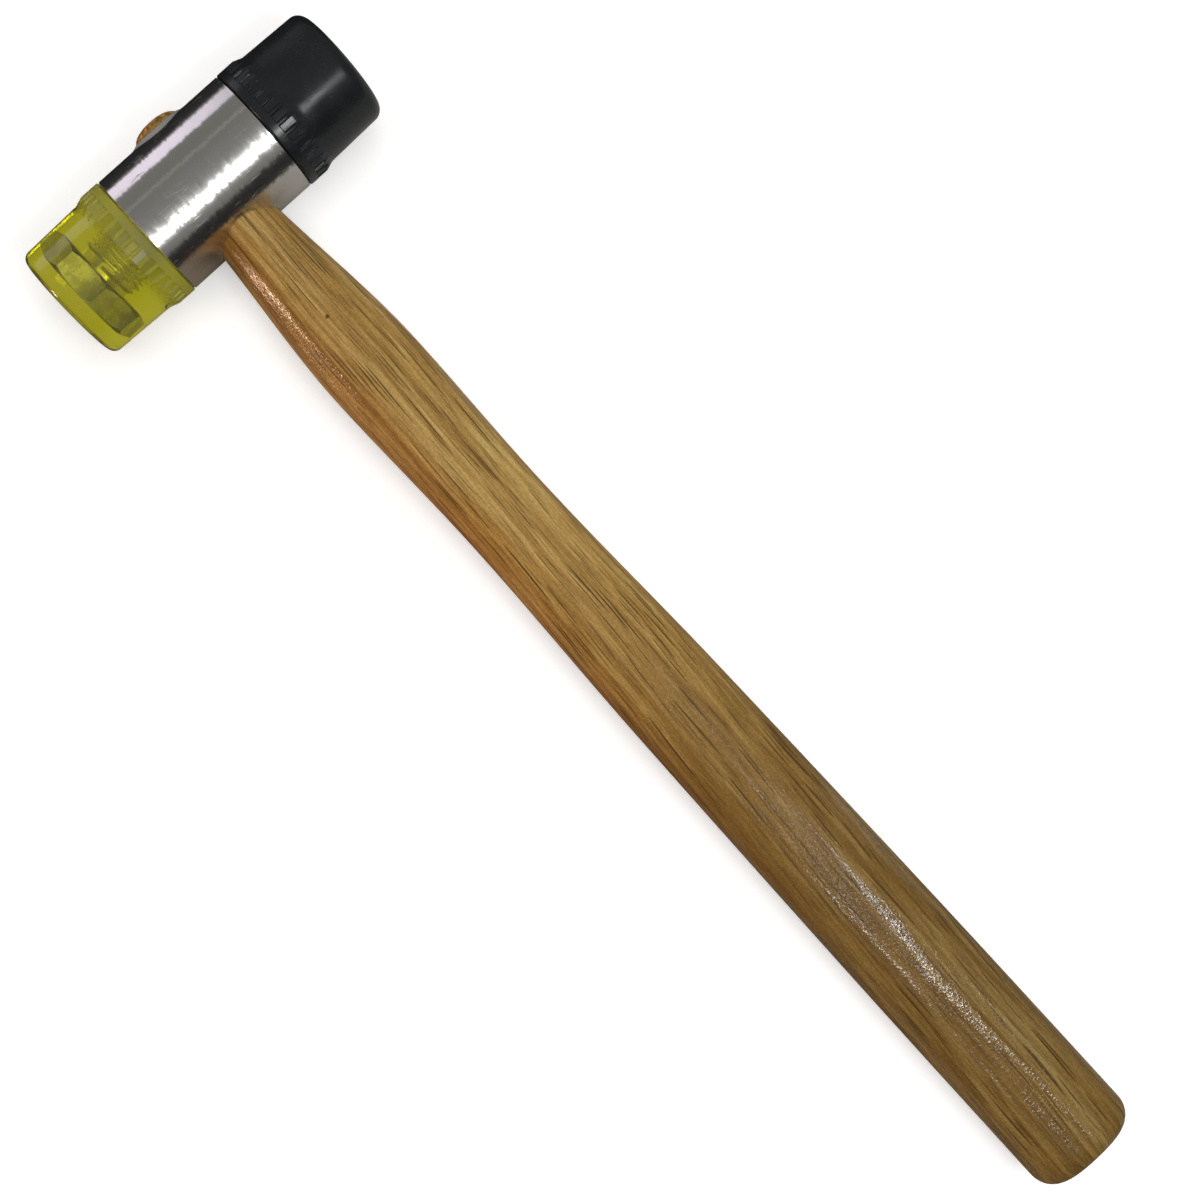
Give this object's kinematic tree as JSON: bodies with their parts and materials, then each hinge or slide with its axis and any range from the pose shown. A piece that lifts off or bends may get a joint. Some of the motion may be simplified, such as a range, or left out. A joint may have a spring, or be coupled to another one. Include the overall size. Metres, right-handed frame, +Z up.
{
  "type": "soft face hammer",
  "caption": "Hand hammer with a chrome steel tube head, a clear yellow plastic striking face and a black rubber one that screw on, and a lacquered wooden handle wedged through the eye.",
  "frame": {"origin": "centre of the bounding box in plan, on the table that the hammer lies on", "axes": "+X along the head from the clear face to the rubber face, +Y along the handle from the butt to the head, +Z up from the table"},
  "size_m": [0.081, 0.3093, 0.0303],
  "materials": {
    "head_tube": "polished chrome plate with fine rings from polishing",
    "steel": "plain turned steel",
    "clear_face": "clear yellow plastic, glossy",
    "rubber_face": "black rubber, satin from the mould",
    "handle": "open-grained oak under clear lacquer"
  },
  "bodies": {
    "head": {"head_tube": "head_tube", "clear_face_plug": "steel", "rubber_face_plug": "steel", "handle": "handle", "handle_wedge": "steel"},
    "clear_end": {"clear_face": "clear_face", "clear_face_bolt": "steel"},
    "rubber_end": {"rubber_face": "rubber_face", "rubber_face_bolt": "steel"}
  },
  "joints": [
    {"name": "clear_face_off", "type": "slide", "parent": "head", "child": "clear_end", "axis": [-1, 0, 0], "range_m": [0, 0.025]},
    {"name": "rubber_face_off", "type": "slide", "parent": "head", "child": "rubber_end", "axis": [1, 0, 0], "range_m": [0, 0.025]}
  ]
}
